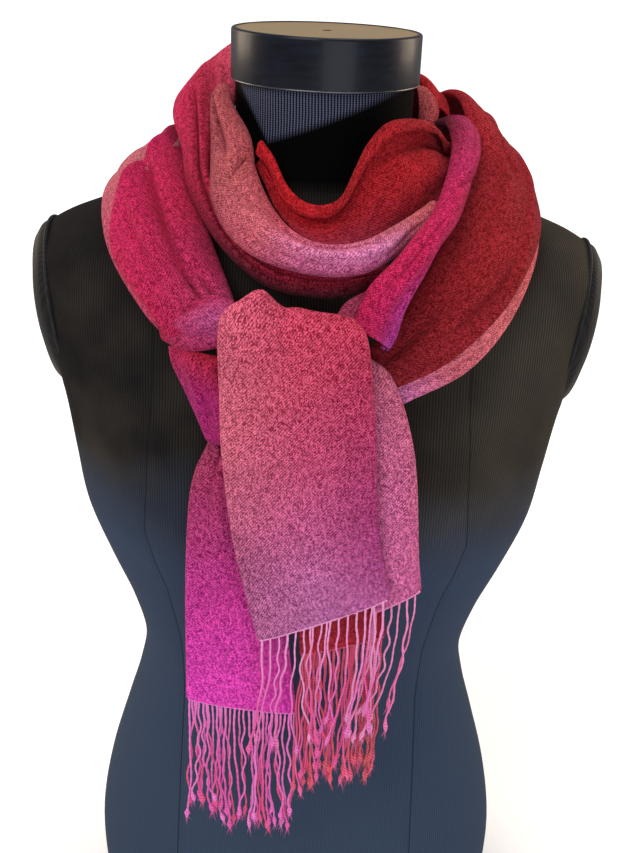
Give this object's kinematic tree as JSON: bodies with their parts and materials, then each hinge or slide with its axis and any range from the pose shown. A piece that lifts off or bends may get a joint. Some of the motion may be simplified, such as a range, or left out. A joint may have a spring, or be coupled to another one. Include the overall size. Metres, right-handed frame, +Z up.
{
  "type": "fringed scarf worn on a dress form",
  "caption": "Fringed woven scarf wound round the neck and loosely knotted in front, worn on a limbless black dress form that stands on its flat base.",
  "frame": {"origin": "middle of the form's flat base, on the floor", "axes": "+Z up, +X to the viewer's right as the scarf's front is faced, +Y away from the viewer"},
  "size_m": [0.3798, 0.2952, 0.7],
  "materials": {
    "scarf_cloth": "soft woven wool blend that shades from crimson to magenta and pale mauve",
    "fringe_yarn": "loose twisted wool yarn, pink to coral and magenta",
    "form_jersey": "fine ribbed black stretch jersey drawn tight",
    "neck_cap_metal": "smooth glossy dark enamel"
  },
  "bodies": {
    "root": {"outer_wrap": "scarf_cloth", "collar_wrap": "scarf_cloth", "neck_fold": "scarf_cloth", "cowl_drape": "scarf_cloth", "cowl_roll": "scarf_cloth", "right_roll": "scarf_cloth", "right_under_fold": "scarf_cloth", "knot_top_fold": "scarf_cloth", "knot_body": "scarf_cloth", "front_tail": "scarf_cloth", "side_tail": "scarf_cloth", "inner_tail": "scarf_cloth", "left_tail": "scarf_cloth", "fringe_front": "fringe_yarn", "fringe_side": "fringe_yarn", "fringe_inner": "fringe_yarn", "fringe_left": "fringe_yarn", "form_torso": "form_jersey", "arm_cap_left": "form_jersey", "arm_cap_right": "form_jersey", "neck_cap": "neck_cap_metal"}
  },
  "joints": []
}
